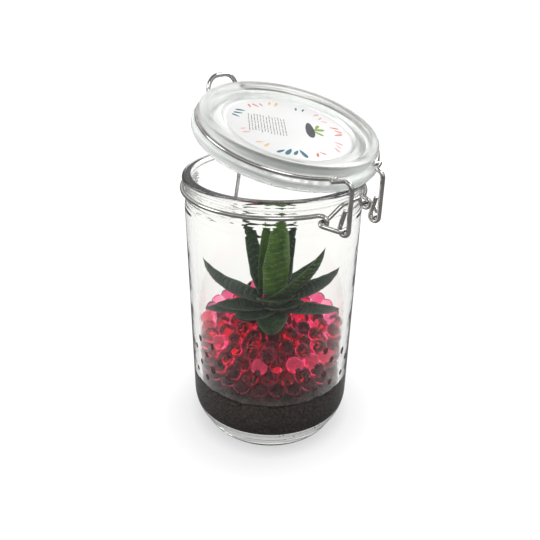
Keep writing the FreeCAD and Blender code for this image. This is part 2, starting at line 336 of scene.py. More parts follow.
def makeCamera():
    turn, pitch, roll = (radians(photoView[name]) for name in ("azimuth", "pitch", "roll"))
    right = Vector((cos(turn), sin(turn), 0))
    ahead = upward.cross(right) * cos(pitch) - upward * sin(pitch)
    top = right.cross(ahead)
    right, top = (right * cos(roll) + top * sin(roll),
                  top * cos(roll) - right * sin(roll))
    data = bpy.data.cameras.new("photoCamera")
    data.lens, data.sensor_width = photoView["lens"], photoView["sensor"]
    data.clip_start, data.clip_end = 0.01, 20
    camera = addObject("photoCamera", data)
    camera.matrix_world = Matrix((
        (right.x, top.x, -ahead.x, 0), (right.y, top.y, -ahead.y, 0),
        (right.z, top.z, -ahead.z, 0), (0, 0, 0, 1)))
    camera.location = (Vector(photoView["aim"]) - ahead * photoView["distance"]) * mm
    scene.camera = camera
    return right, Vector((ahead.x, ahead.y, 0)).normalized()


lampAim = Vector((0, 0, 0.08))
lampTable = {  # right, away and up from the jar in m, size in m, power in W
    "backRightSoftbox": (0.55, 0.45, 0.75, 0.6, 4.4),
    "leftSoftbox": (-0.8, -0.1, 0.5, 0.5, 2.2),
    "frontTopSoftbox": (0.1, -0.7, 0.9, 0.5, 2.4),
}


def makeLamps(right, away):
    for name, (side, depth, height, size, power) in lampTable.items():
        data = bpy.data.lights.new(name, "AREA")
        data.shape, data.size, data.energy = "DISK", size, power
        lamp = addObject(name, data)
        lamp.location = right * side + away * depth + upward * height
        lamp.rotation_euler = (lampAim - lamp.location).to_track_quat("-Z", "Y").to_euler()


studioLook = {  # the bands are pairs of place and brightness: height over the horizon, m from the jar; the floor's bands paint a soft shadow round the jar
    "worldLight": 0.45, "skySeen": [(0.15, 1.0), (0.7, 0.75)],
    "skyBands": [(0.0, 0.15), (0.25, 0.6), (0.5, 1.0), (0.8, 0.25)],
    "floorPaintedShadow": [(0.044, 0.58), (0.054, 0.78), (0.075, 0.91), (0.3, 1.0)],
    "floorShine": 0.1, "floorColour": 0.15, "floorRough": 0.9,
    "floorGloss": 0.1, "floorSize": 9.0,
}


def chooseByRay(tree, seen, shine, lit):
    # one value for the camera and refractions, one for reflections, one for the light that falls
    path = tree.add("LightPath").outputs
    mirrored = tree.blend(path["Is Glossy Ray"], lit, shine)
    clear = tree.combine("MAXIMUM", path["Is Camera Ray"], path["Is Transmission Ray"])
    direct = tree.blend(clear, mirrored, seen)
    return tree.blend(path["Diffuse Depth"], direct, lit)


def ramp(tree, source, stops):
    curve = tree.add("ValToRGB")
    for place, value in stops[2:]:
        curve.color_ramp.elements.new(place)
    for element, (place, value) in zip(curve.color_ramp.elements, stops):
        element.position, element.color = place, (value, value, value, 1)
    tree.link(source, curve.inputs["Fac"])
    return curve.outputs["Color"]


def makeStudio():
    world = bpy.data.worlds.new("studio")
    world.use_nodes = True
    scene.world = world
    tree = Tree(world.node_tree)
    way = tree.add("TexCoord")
    parts = tree.add("SeparateXYZ", Vector=way.outputs["Generated"])
    seen = ramp(tree, parts.outputs["Z"], studioLook["skySeen"])
    shine = ramp(tree, parts.outputs["Z"], studioLook["skyBands"])
    sky = tree.nodes["Background"]
    tree.link(chooseByRay(tree, seen, shine, studioLook["worldLight"]), sky.inputs["Strength"])
    sky.inputs["Color"].default_value = (1, 1, 1, 1)

    bm = bmesh.new()
    bmesh.ops.create_grid(bm, x_segments=2, y_segments=2, size=studioLook["floorSize"] / 2)
    mesh = bpy.data.meshes.new("floor")
    bm.to_mesh(mesh)
    bm.free()
    floor = addObject("floor", mesh)
    material, tree, shader = newMaterial("paleFloor")
    tone = studioLook["floorColour"]
    setLook(shader, {"Base Color": (tone, tone, tone, 1), "Roughness": studioLook["floorRough"],
                     "Specular IOR Level": studioLook["floorGloss"]})
    # the floor's glow dims near the jar: a painted soft shadow round its foot
    length = tree.add("VectorMath", {"operation": "LENGTH"}, Vector=tree.place())
    seen = ramp(tree, length.outputs["Value"], studioLook["floorPaintedShadow"])
    dim = tree.combine("MULTIPLY", seen, studioLook["floorShine"])
    glow = tree.add("Emission", {"Color": (1, 1, 1, 1)})
    tree.link(chooseByRay(tree, seen, dim, 0.0), glow.inputs["Strength"])
    both = tree.add("AddShader")
    tree.link(shader.outputs[0], both.inputs[0])
    tree.link(glow.outputs[0], both.inputs[1])
    tree.show(both.outputs[0])
    mesh.materials.append(material)


cameraRight, cameraAway = makeCamera()
makeLamps(cameraRight, cameraAway)
makeStudio()
scene.view_settings.view_transform = "Standard"
print("camera, lamps and floor made")


# materials

glassLook = {
    "tint": (0.95, 0.95, 0.935), "mirrorTint": (0.35, 0.35, 0.36), "lampTint": (0.93, 0.94, 0.94),
    "depthTint": (0.7, 0.76, 0.74), "density": 4.0, "ior": 1.5, "fade": 4.0,
    "ringScale": 420.0, "ringDetail": 1.5, "ringDepth": 0.0005,
    "waveScale": 45.0, "waveHeight": 0.25, "waveDepth": 0.0006,
}
jarFinish = {"wave": 1.0, "rough": 0.06, "ripple": 1.0, "ringsFrom": 150.0}
lidFinish = {"wave": 0.2, "rough": 0.3, "ripple": 0.35, "ringsFrom": 0.0}


def makeGlass(name, finish, tilt=None):
    # clear pressed glass: soft waves all over, and above a height fine rings round the axis
    material, tree, shader = newMaterial(name)
    setLook(shader, {"Base Color": (*glassLook["tint"], 1), "IOR": glassLook["ior"],
                     "Transmission Weight": 1.0, "Specular Tint": (*glassLook["mirrorTint"], 1)})
    uneven = addUneven(tree, glassLook["waveScale"], glassLook["waveHeight"] * finish["wave"],
                       glassLook["waveDepth"])
    place = tree.place()
    parts = tree.add("SeparateXYZ", Vector=place)
    start = finish["ringsFrom"]
    span = tree.span(parts.outputs["Z"], start * mm, (start + glassLook["fade"]) * mm, 0, 1)
    own = tree.add("Mapping", Vector=place)
    if tilt:
        turn, shift = tilt
        own.inputs["Rotation"].default_value = (0, turn, 0)
        own.inputs["Location"].default_value = shift
    flat = tree.add("VectorMath", {"operation": "MULTIPLY"}, Vector=own.outputs["Vector"])
    flat.inputs[1].default_value = (1, 1, 0)
    radius = tree.add("VectorMath", {"operation": "LENGTH"}, Vector=flat.outputs["Vector"])
    ownParts = tree.add("SeparateXYZ", Vector=own.outputs["Vector"])
    along = tree.combine("ADD", radius.outputs["Value"], ownParts.outputs["Z"])
    rings = tree.add("TexNoise", {
        "noise_dimensions": "1D", "Scale": glassLook["ringScale"], "Detail": glassLook["ringDetail"]},
        W=along)
    high = tree.combine("MULTIPLY", span, finish["ripple"])
    bump = tree.add("Bump", {"Distance": glassLook["ringDepth"]}, Height=rings.outputs["Fac"],
                    Strength=high, Normal=uneven.outputs["Normal"])
    tree.link(bump.outputs["Normal"], shader.inputs["Normal"])
    tree.link(tree.combine("MULTIPLY", span, finish["rough"]), shader.inputs["Roughness"])
    letLampsThrough(tree, shader, glassLook["lampTint"])
    absorb(tree, glassLook["depthTint"], glassLook["density"])
    return material


steelLook = {
    "colours": [(0.64, 0.63, 0.61), (0.48, 0.47, 0.46), (0.35, 0.34, 0.32)],
    "drift": (160, 1500, 0.08), "uneven": (700, 0.15, 0.0001), "rough": (0.06, 0.16),
}


jarGlass = makeGlass("jarGlass", jarFinish)
brightSteel = paintedMaterial("brightSteel", steelLook)
brightSteel.node_tree.nodes["Principled BSDF"].inputs["Metallic"].default_value = 1


# the jar

jar = {
    "rimRadius": 52.0, "rimHeight": 5.3, "rimFlare": 1.6, "rimRound": 2.2, "mouthRound": 1.0,
    "lipWidth": 5.3, "neckInset": 1.3, "neckHeight": 10.0, "shoulderInset": 0.8,
    "shoulderHeight": 147.0, "shoulderRun": 4.0, "wall": 4.2, "taper": 0.9, "heelTall": 14.0,
    "heelRound": 22.0, "footInset": 7.6, "footRound": 2.0, "footWidth": 6.0, "footRecess": 1.6,
    "soft": 0.8, "floor": 6.5, "floorInset": 8.6, "floorRound": 5.0, "insideTall": 17.0,
    "insideRound": 20.0,
}
neckRadius = jar["rimRadius"] - jar["neckInset"]
shoulderRadius = jar["rimRadius"] - jar["shoulderInset"]
heelRadius = shoulderRadius - jar["taper"]
mouthRadius = jar["rimRadius"] - jar["lipWidth"]
neckBottom = jar["shoulderHeight"] + jar["shoulderRun"]
grooveTop = neckBottom + jar["neckHeight"]
rimTop = grooveTop + jar["rimHeight"]


def wallInside(height):
    return heelRadius + (shoulderRadius - heelRadius) * height / jar["shoulderHeight"] - jar["wall"]


def makeJar():
    soft = jar["soft"]
    footRadius = heelRadius - jar["footInset"]
    footInside = footRadius - jar["footWidth"]
    bm = lathe([
        (0, jar["footRecess"], 0), (footInside, jar["footRecess"], soft),
        (footInside + jar["footRecess"], 0, soft), (footRadius, 0, jar["footRound"]),
        (heelRadius, jar["heelTall"], jar["heelRound"]),
        (shoulderRadius, jar["shoulderHeight"], jar["shoulderRun"]),
        (neckRadius, neckBottom, soft), (neckRadius, grooveTop, soft),
        (jar["rimRadius"], grooveTop + jar["rimFlare"], soft),
        (jar["rimRadius"], rimTop, jar["rimRound"]), (mouthRadius, rimTop, jar["mouthRound"]),
        (mouthRadius, neckBottom, soft),
        (wallInside(jar["shoulderHeight"]), jar["shoulderHeight"], jar["shoulderRun"]),
        (wallInside(0), jar["insideTall"], jar["insideRound"]),
        (wallInside(0) - jar["floorInset"], jar["floor"], jar["floorRound"]),
        (0, jar["floor"], 0),
    ], 360, 6)
    return finishPiece("jarBody", bm, jarGlass, "jar", "jar_glass", "glass_jar")


makeJar()
print("jar made")


# wires round the neck, hinge link and bail

wire = {
    "radius": 1.25, "linkRadius": 1.2, "pinGap": 0.3, "seatGap": 0.3, "ringGap": 0.2, "neckDrop": 2.8,
    "bend": 3.0, "tightBend": 2.2, "eyePlace": 19.0, "eyeTurn": 215.0,
    "linkLength": 10.4, "restAngle": -20.0, "closedAngle": -34.0, "baseAngle": 84.0, "baseDepth": 7.4,
    "baseHalf": 7.5, "baseBend": 4.0, "exitPlace": 14.3, "armPlace": 24.4, "farPlace": 17.2,
    "tipPlace": 11.2, "bailLength": 30.0, "bailArm": 22.9, "bailFar": 18.5, "bailTip": 15.8,
    "bailCorner": 6.5,
}
neckWireHeight = grooveTop - wire["neckDrop"]
eyeRadius = wire["linkRadius"] + wire["pinGap"] + wire["radius"]
neckRing = neckRadius + wire["ringGap"] + wire["radius"]
eyeArc = neckRing + wire["bend"]
eyeBearing = asin((wire["eyePlace"] + wire["bend"]) / eyeArc)
eyeX = eyeArc * cos(eyeBearing)
eyeZ = neckWireHeight - eyeRadius


def onLink(distance, side, turn):
    angle = radians(turn)
    return Vector((eyeX + distance * cos(angle), side, eyeZ + distance * sin(angle)))


def makeNeckWires():
    quarter = Vector((0, neckRing, neckWireHeight))
    bearing = degrees(eyeBearing)
    arc = arcPoints(upward * neckWireHeight, quarter, upward, bearing - 90, 3)
    bend = arcPoints(Vector((eyeX, wire["eyePlace"] + wire["bend"], neckWireHeight)), arc[-1],
                     upward, 90 - bearing, 8)
    curl = arcPoints(Vector((eyeX, wire["eyePlace"], eyeZ)), bend[-1], across, wire["eyeTurn"], 10)
    half = arc + bend + curl
    other = [Vector((-point.x, point.y, point.z)) for point in reversed(half)]
    whole = other + half
    wirePiece("neckWireBack", whole, wire["radius"], "jar", "neck_wire_back")
    front = [Vector((point.x, -point.y, point.z)) for point in whole]
    wirePiece("neckWireFront", front, wire["radius"], "jar", "neck_wire_front")


def makeHingeLink():
    rest, length = wire["restAngle"], wire["linkLength"]
    half = [
        (onLink(length, wire["tipPlace"], rest), 0),
        (onLink(length, wire["farPlace"], rest), wire["tightBend"]),
        (onLink(0, wire["armPlace"], rest), wire["tightBend"]),
        (onLink(0, wire["exitPlace"], rest), wire["bend"]),
        (onLink(wire["baseDepth"], wire["baseHalf"], rest + wire["baseAngle"]), wire["baseBend"]),
    ]
    points = roundedPoints(half + otherHalf(half))
    wirePiece("hingeLinkWire", points, wire["linkRadius"], "hinge_link", "hinge_link")


def makeBail():
    lean = asin((shoulderRadius + wire["radius"] + wire["seatGap"] - eyeX) / wire["bailLength"])
    farX = -eyeX - wire["bailLength"] * sin(lean)
    farZ = eyeZ - wire["bailLength"] * cos(lean)
    half = [
        (Vector((-eyeX, wire["bailTip"], eyeZ)), 0),
        (Vector((-eyeX, wire["bailArm"], eyeZ)), wire["tightBend"]),
        (Vector((farX, wire["bailFar"], farZ)), wire["bailCorner"]),
    ]
    points = roundedPoints(half + otherHalf(half))
    wirePiece("closingBailWire", points, wire["linkRadius"], "closing_bail", "closing_bail")


makeNeckWires()
makeHingeLink()
makeBail()
print("wires made")


# the lid with its wire, seal and label

lid = {
    "overhang": 0.2, "flangeRound": 1.6, "inset": 2.9, "edgeRound": 1.8, "rimWidth": 4.4,
    "rimSlope": 2.3, "height": 12.0, "grooveDepth": 6.0, "ringInset": 2.5, "ledgeWidth": 5.4,
    "ledgeDepth": 3.2, "panelSlope": 1.6, "panelDepth": 5.2, "plugClear": 2.1, "plugSlope": 2.0,
    "plugDepth": 6.0, "plugRound": 2.0, "plugRim": 5.6, "dishDepth": 2.6, "dishSlope": 4.0, "seal": 1.2,
    "sealClear": 0.6, "sealInset": 0.8, "labelMargin": 1.2, "label": 0.25, "tilt": 16.0,
}
lidWire = {"legPlace": 13.7, "legBend": 4.0, "exitBend": 4.0, "slant": 16.0, "tipHeight": 10.5,
           "hookLean": 14.5, "tabHalf": 11.2, "tabRise": 7.2, "tabReach": 5.6, "tabBend": 8.6}
lidTop = rimTop + wire["seatGap"] + lid["seal"] + lid["height"]
seat = lidTop - lid["height"]
flangeRadius = jar["rimRadius"] + lid["overhang"]
lidRadius = flangeRadius - lid["inset"]
lidRing = flangeRadius - lid["ringInset"]
plugRadius = mouthRadius - lid["plugClear"]
ledgeRadius = lidRadius - lid["rimWidth"] - lid["rimSlope"]
stepRadius = ledgeRadius - lid["ledgeWidth"]
panelRadius = stepRadius - lid["panelSlope"]
panelTop = lidTop - lid["panelDepth"]
pivotClosed = onLink(wire["linkLength"], 0, wire["closedAngle"])
pivotRest = onLink(wire["linkLength"], 0, wire["restAngle"])
ajar = (Matrix.Translation(pivotRest * mm) @ turned(lid["tilt"], across)
        @ Matrix.Translation(-pivotClosed * mm))
closer = ajar.inverted()
lidGlass = makeGlass("lidGlass", lidFinish, (closer.to_euler().y, closer.to_translation()))


def makeLid():
    soft, room = jar["soft"], wire["radius"] + wire["ringGap"]
    grooveRadius = lidRing - room
    grooveHigh, grooveLow = lidTop - lid["grooveDepth"] + room, lidTop - lid["grooveDepth"] - room
    plugTip, plugLow = plugRadius - lid["plugSlope"], seat - lid["plugDepth"]
    dish, dishTop = plugTip - lid["plugRim"], plugLow + lid["dishDepth"]
    ledge = lidTop - lid["ledgeDepth"]
    bm = lathe([
        (0, dishTop, 0), (dish - lid["dishSlope"], dishTop, soft), (dish, plugLow, soft),
        (plugTip, plugLow, lid["plugRound"]), (plugRadius, seat, soft / 2),
        (flangeRadius, seat, lid["flangeRound"]), (flangeRadius, grooveLow, lid["flangeRound"]),
        (grooveRadius, grooveLow, soft), (grooveRadius, grooveHigh, soft),
        (lidRadius, grooveHigh, soft), (lidRadius, lidTop, lid["edgeRound"]),
        (lidRadius - lid["rimWidth"], lidTop, lid["edgeRound"]),
        (ledgeRadius, ledge, soft), (stepRadius, ledge, soft), (panelRadius, panelTop, soft),
        (0, panelTop, 0),
    ], 360, 4)
    bm.transform(ajar)
    finishPiece("lidBody", bm, lidGlass, "lid", "lid_glass", "glass_lid")


sealLook = {
    "colours": [(0.9, 0.92, 0.91), (0.82, 0.85, 0.84), (0.95, 0.95, 0.95)], "drift": (120,),
    "uneven": (900, 0.2, 0.0001), "rough": (0.25, 0.45), "lampTint": (0.8, 0.82, 0.81),
    "ior": 1.42, "clear": 0.75, "edge": 0.4,
}


def makeSeal():
    material, tree, shader = newMaterial("clearRubber")
    setLook(shader, {"IOR": sealLook["ior"], "Transmission Weight": sealLook["clear"]})
    paintSurface(tree, shader, sealLook)
    letLampsThrough(tree, shader, sealLook["lampTint"])
    outer, inner = jar["rimRadius"] - lid["sealInset"], plugRadius + lid["sealClear"]
    low, high, edge = seat - lid["seal"], seat, sealLook["edge"]
    bm = lathe([
        (outer - 1, low, 0), (outer, low, edge), (outer, high, edge), (inner, high, edge),
        (inner, low, edge), (outer - 1, low, 0),
    ], 128, 3)
    bm.transform(ajar)
    finishPiece("lidSeal", bm, material, "lid", "seal_rubber", "lid_gasket")


def makeLidWire():
    height = lidTop - lid["grooveDepth"]
    legPlace, tabPlace = lidWire["legPlace"], lidWire["tabHalf"]
    slant = radians(lidWire["slant"])
    down = Vector((sin(slant), 0, -cos(slant)))
    outward = Vector((cos(slant), 0, sin(slant)))
    legArc = lidRing + lidWire["exitBend"]
    legBearing = asin((legPlace + lidWire["exitBend"]) / legArc)
    exitX = legArc * cos(legBearing)
    hookCentre = pivotClosed + across * legPlace
    hookStart = hookCentre + outward * eyeRadius
    corner = hookStart - down * (height - hookStart.z) / cos(slant)
    exitPoint = Vector((exitX, legPlace, height))
    leg = roundedPoints([(exitPoint, 0), (corner, lidWire["legBend"]), (hookStart, 0)])
    hook = arcPoints(hookCentre, hookStart, across, 180 + lidWire["hookLean"], 10)
    tipWay = turned(180 + lidWire["hookLean"], across, 3) @ down
    tip = hook[-1] + tipWay * lidWire["tipHeight"]

    tabArc = lidRing + wire["bend"]
    tabBearing = asin((tabPlace + wire["bend"]) / tabArc)
    tabX = tabArc * cos(tabBearing)
    tabHalf = [
        (Vector((-tabX, tabPlace, height)), 0),
        (Vector((-tabX - wire["tightBend"], tabPlace, height)), wire["tightBend"]),
        (Vector((-tabX - lidWire["tabReach"], tabPlace, height + lidWire["tabRise"])),
         lidWire["tabBend"]),
    ]
    tab = roundedPoints(tabHalf + otherHalf(tabHalf))

    legStart = Vector((cos(legBearing), sin(legBearing), 0)) * lidRing + upward * height
    legOut = arcPoints(Vector((exitX, legPlace + lidWire["exitBend"], height)), legStart, upward,
                       degrees(legBearing) - 90)
    sweep = 180 - degrees(legBearing + tabBearing)
    ring = arcPoints(upward * height, legStart, upward, sweep, 3)
    tabOut = arcPoints(Vector((-tabX, tabPlace + wire["bend"], height)), ring[-1],
                       upward, degrees(tabBearing) - 90)
    half = [tip] + hook[::-1] + leg[::-1] + legOut[::-1] + ring + tabOut
    points = half + tab + otherHalf(half)
    wirePiece("lidWireLoop", points, wire["radius"], "lid", "lid_wire", ajar)


makeLid()
makeSeal()
makeLidWire()
print("lid made")


# soil, water beads and the plant's foot

fillGap = 0.25
soil = {
    "top": 39.0, "press": 0.03, "edgeDrop": 0.5, "edgeRound": 1.0, "freeBelow": 13.0, "lift": 0.3,
    "rough": 0.6, "roughFrom": 0.8, "coarse": 420, "fine": 1100, "mound": 2.6, "moundScale": 160,
    "moundLevel": 0.6, "crumbs": 420, "crumbSize": (0.25, 0.8), "crumbSquash": (0.6, 1.2),
}
soilLook = {
    "shades": [(0.024, 0.021, 0.02), (0.06, 0.05, 0.046), (0.16, 0.12, 0.09)],
    "drift": (650, 900, 0.22), "uneven": (900, 0.8, 0.0006, 4.0), "rough": (0.75, 0.95), "gloss": 0.12,
    # the last four numbers paint light on the soil below its top, seen at the glass, and paint shade on
    # its top between the beads
    "paintedGlassLight": 1.6, "paintedTopShade": 0.3, "turnsFrom": 2.5, "turnsTo": 0.3,
}
crumbLook = {
    "colours": [(0.03, 0.024, 0.02), (0.07, 0.055, 0.045), (0.25, 0.22, 0.18)],
    "drift": (130, 300, 0.3), "uneven": (1500, 0.7, 0.0004, 3.0), "rough": 0.9,
}


def makeSoil():
    material, tree, shader = newMaterial("dampSoil")
    # painted light makes it paler where it is pressed to the glass, and painted shade darkens its
    # uncovered top between the beads
    parts = tree.add("SeparateXYZ", Vector=tree.place())
    shade = tree.span(parts.outputs["Z"], (soil["top"] - soilLook["turnsFrom"]) * mm,
                      (soil["top"] - soilLook["turnsTo"]) * mm, soilLook["paintedGlassLight"], soilLook["paintedTopShade"])
    drift = addDrift(tree, *soilLook["shades"], *soilLook["drift"])
    paintedSoilLightShade = tree.add("VectorMath", {"operation": "SCALE"}, Vector=drift.outputs["Color"],
                      Scale=shade)
    tree.link(paintedSoilLightShade.outputs["Vector"], shader.inputs["Base Color"])
    paintSurface(tree, shader, soilLook)

    press, top = soil["press"], soil["top"]
    low = jar["floor"] - press
    bm = lathe([
        (0, low, 0), (wallInside(low) - jar["floorInset"] + press, low, jar["floorRound"]),
        (wallInside(jar["insideTall"]) + press, jar["insideTall"] - press, jar["insideRound"]),
        (wallInside(top) + press, top - soil["edgeDrop"], soil["edgeRound"]),
        (wallInside(top) - 4, top, 0), (0, top, 0),
    ], 300, 6)
    longEdges = [edge for edge in bm.edges if edge.calc_length() > 4 * mm
                 and abs(edge.verts[0].co.xy.length - edge.verts[1].co.xy.length) + abs(
                     edge.verts[0].co.z - edge.verts[1].co.z) > 4 * mm]
    bmesh.ops.subdivide_edges(bm, edges=longEdges, cuts=24, use_grid_fill=True)
    for vert in bm.verts:
        rough = noise.noise(vert.co * soil["coarse"]) + 0.6 * noise.noise(vert.co * soil["fine"])
        flat = Vector((vert.co.x, vert.co.y, 0))
        if flat.length > 1 * mm and vert.co.z < (top - 1) * mm:
            vert.co -= flat.normalized() * soil["rough"] * mm * max(0, rough - soil["roughFrom"])
            if vert.co.z < soil["freeBelow"] * mm:
                vert.co += (upward - flat.normalized()) * soil["lift"] * mm
        if vert.co.z > (top - 2) * mm:
            vert.co.z += soil["mound"] * mm * (
                noise.noise(vert.co * soil["moundScale"]) - soil["moundLevel"])
    bmesh.ops.recalc_face_normals(bm, faces=bm.faces)
    finishPiece("soilBody", bm, material, "jar", "potting_soil", "soil")


def makeCrumbs():
    low, top = jar["floor"] - soil["press"], soil["top"]
    bm = bmesh.new()
    for index in range(soil["crumbs"]):
        size = luck.uniform(*soil["crumbSize"])
        angle, height = luck.uniform(0, tau), luck.uniform(low + 4, top - 0.5)
        reach = wallInside(height) - size * 0.9
        if index % 3 == 0:  # every third crumb lies on the open top
            reach, height = reach * sqrt(luck.uniform(0.1, 0.95)), top - 0.6
        turn = Matrix.Rotation(luck.uniform(0, 3), 4, Vector(luck.normal(size=3)))
        squash = Matrix.Diagonal((*luck.uniform(*soil["crumbSquash"], 3), 1))
        spot = Vector((cos(angle) * reach, sin(angle) * reach, height))
        bmesh.ops.create_icosphere(bm, subdivisions=1, radius=size * mm,
                                   matrix=Matrix.Translation(spot * mm) @ turn @ squash)
    finishPiece("soilCrumbs", bm, paintedMaterial("soilCrumbs", crumbLook), "jar", "potting_soil",
                smooth=False)


bead = {
    "radius": 5.0, "rows": 4, "bedRows": 3, "topShare": 0.9, "least": 0.93, "shake": 0.9, "rounds": 160,
    "sink": 0.04, "push": 0.3, "atGlass": 0.4, "paleFrom": 54.0, "paleShare": 0.2,
}
beadPatch = {"depth": 0.1, "drop": 0.6, "thick": 0.2, "wide": (1.4, 2.0), "longer": (1.1, 1.5)}
gelLook = {
    "tint": (1.0, 0.8, 0.88), "mirrorTint": (0.4, 0.3, 0.34), "lampTint": (0.8, 0.3, 0.42), "ior": 1.34,
    "glowTint": (1.0, 0.08, 0.2), "uneven": (160, 0.12, 0.0006), "rough": (0.0, 0.05),
}
redGel = {"depthTint": (0.95, 0.06, 0.45), "density": 240, "glow": 0.0}
# the paler gel absorbs less, and its glow is painted light shining through it
paleGelPaintedGlow = {"depthTint": (0.96, 0.2, 0.5), "density": 120, "glow": 0.17}
# the dark contact spots are painted shade where the beads meet the glass
paintedContactShadeLook = {
    "colours": [(0.045, 0.002, 0.006), (0.12, 0.006, 0.018), (0.3, 0.03, 0.06)], "drift": (300,),
    "rough": 0.15,
}
bedTop = soil["top"] + fillGap + bead["bedRows"] * bead["radius"] * sqrt(3)

foot = {"rootRadius": 9.5, "crownRadius": 7.5, "plantTall": 86.8, "crownShare": 0.332,
        "shrink": 0.12, "barkScale": 260}
footLook = {
    "colours": [(0.02, 0.035, 0.015), (0.07, 0.06, 0.03), (0.16, 0.14, 0.08)], "drift": (200, 900, 0.2),
    "uneven": (600, 0.8, 0.0008, 4.0), "rough": 0.7,
}
crownTop = bedTop + foot["crownShare"] * foot["plantTall"]


def settleBeads():
    # rings of beads laid in the hollows of the row below, shaken and pushed apart until they rest
    radius = bead["radius"]
    pitch = 2 * radius + fillGap
    spots = []
    for row in range(bead["rows"]):
        level = soil["top"] + fillGap + radius + row * radius * sqrt(3)
        reach = wallInside(level) - fillGap - radius
        while reach > foot["rootRadius"] + radius:
            count = int(tau * reach / pitch)
            for index in range(count):
                angle = tau * (index + row / 2) / count
                if row < bead["rows"] - 1 or luck.random() < bead["topShare"]:
                    spots.append((reach * cos(angle), reach * sin(angle), level))
            reach -= pitch
    spots = numpy.array(spots)
    spots += luck.normal(0, bead["shake"], spots.shape)
    lowest = soil["top"] + fillGap + radius
    for step in range(bead["rounds"]):
        spots[:, 2] -= bead["sink"]
        apart = spots[:, None] - spots[None]
        far = numpy.sqrt((apart ** 2).sum(2)) + 1e-9
        overlap = numpy.clip(2 * radius - far, 0, None)
        numpy.fill_diagonal(overlap, 0)
        spots += (apart / far[:, :, None] * overlap[:, :, None] * bead["push"]).sum(1)
        flat = numpy.sqrt((spots[:, :2] ** 2).sum(1)) + 1e-9
        most = wallInside(spots[:, 2]) - fillGap - radius
        spots[:, :2] *= (numpy.clip(flat, foot["rootRadius"] + radius, most) / flat)[:, None]
        spots[:, 2] = numpy.clip(spots[:, 2], lowest, None)
    return spots


def makeGel(name, gel):
    material, tree, shader = newMaterial(name)
    # the emission is a painted glow of light shining through the gel
    setLook(shader, {"Base Color": (*gelLook["tint"], 1), "IOR": gelLook["ior"],
                     "Transmission Weight": 1.0, "Specular Tint": (*gelLook["mirrorTint"], 1),
                     "Emission Color": (*gelLook["glowTint"], 1), "Emission Strength": gel["glow"]})
    paintSurface(tree, shader, gelLook)
    letLampsThrough(tree, shader, gelLook["lampTint"])
    absorb(tree, gel["depthTint"], gel["density"])
    return material


def makeBeads():
    spots = settleBeads()
    radius = bead["radius"]
    beads, pale, patches = bmesh.new(), bmesh.new(), bmesh.new()
    touching = 0
    for spot in spots:
        size = radius * luck.uniform(bead["least"], 1.0)
        flat = hypot(spot[0], spot[1])
        outer = flat > wallInside(spot[2]) - fillGap - radius - bead["atGlass"]
        paleWithPaintedGlow = outer and spot[2] > bead["paleFrom"] and luck.random() < bead["paleShare"]
        bmesh.ops.create_icosphere(pale if paleWithPaintedGlow else beads, subdivisions=3 if outer else 2,
                                   radius=size * mm, matrix=Matrix.Translation(Vector(spot) * mm))
        if outer:  # a dark spot of painted shade where the bead is pressed to the glass
            touching += 1
            way = Vector((spot[0] / flat, spot[1] / flat, 0))
            at = (way * (wallInside(spot[2]) - beadPatch["depth"])
                  + upward * (spot[2] - beadPatch["drop"]))
            frameTurn = way.to_track_quat("X", "Z").to_matrix().to_4x4()
            wide = luck.uniform(*beadPatch["wide"])
            tall = wide * luck.uniform(*beadPatch["longer"])
            shape = Matrix.Diagonal((beadPatch["thick"], wide, tall, 1))
            bmesh.ops.create_icosphere(patches, subdivisions=2, radius=mm,
                                       matrix=Matrix.Translation(at * mm) @ frameTurn @ shape)
    finishPiece("waterBeads", beads, makeGel("redGel", redGel), "jar", "water_bead",
                "water_beads", "bead_bed")
    # a few paler beads, with a painted glow of the daylight shining through them
    finishPiece("paleBeadsPaintedGlow", pale, makeGel("paleGelPaintedGlow", paleGelPaintedGlow), "jar", "water_bead")
    finishPiece("beadContacts", patches, paintedMaterial("paintedContactShade", paintedContactShadeLook), "jar", "water_bead")
    print("beads:", len(spots), "of which on the glass:", touching)


def makeCrown():
    low = soil["top"] + fillGap
    bm = lathe([
        (0, low, 0), (foot["rootRadius"], low, wire["bend"]),
        (foot["rootRadius"], bedTop, wire["bend"]),
        (foot["crownRadius"], bedTop + wire["bend"], jar["soft"]),
        (foot["crownRadius"] / 2, crownTop, wire["bend"]), (0, crownTop, 0),
    ], 48, 4)
    longEdges = [edge for edge in bm.edges if edge.calc_length() > 3 * mm]
    bmesh.ops.subdivide_edges(bm, edges=longEdges, cuts=8, use_grid_fill=True)
    for vert in bm.verts:
        flat = Vector((vert.co.x, vert.co.y, 0))
        vert.co -= flat * foot["shrink"] * (1 + noise.noise(vert.co * foot["barkScale"]))
    finishPiece("plantFoot", bm, paintedMaterial("plantFoot", footLook), "jar", "root_ball",
                "plant_crown")


makeSoil()
makeCrumbs()
makeBeads()
makeCrown()
print("soil and beads made")


# the plant

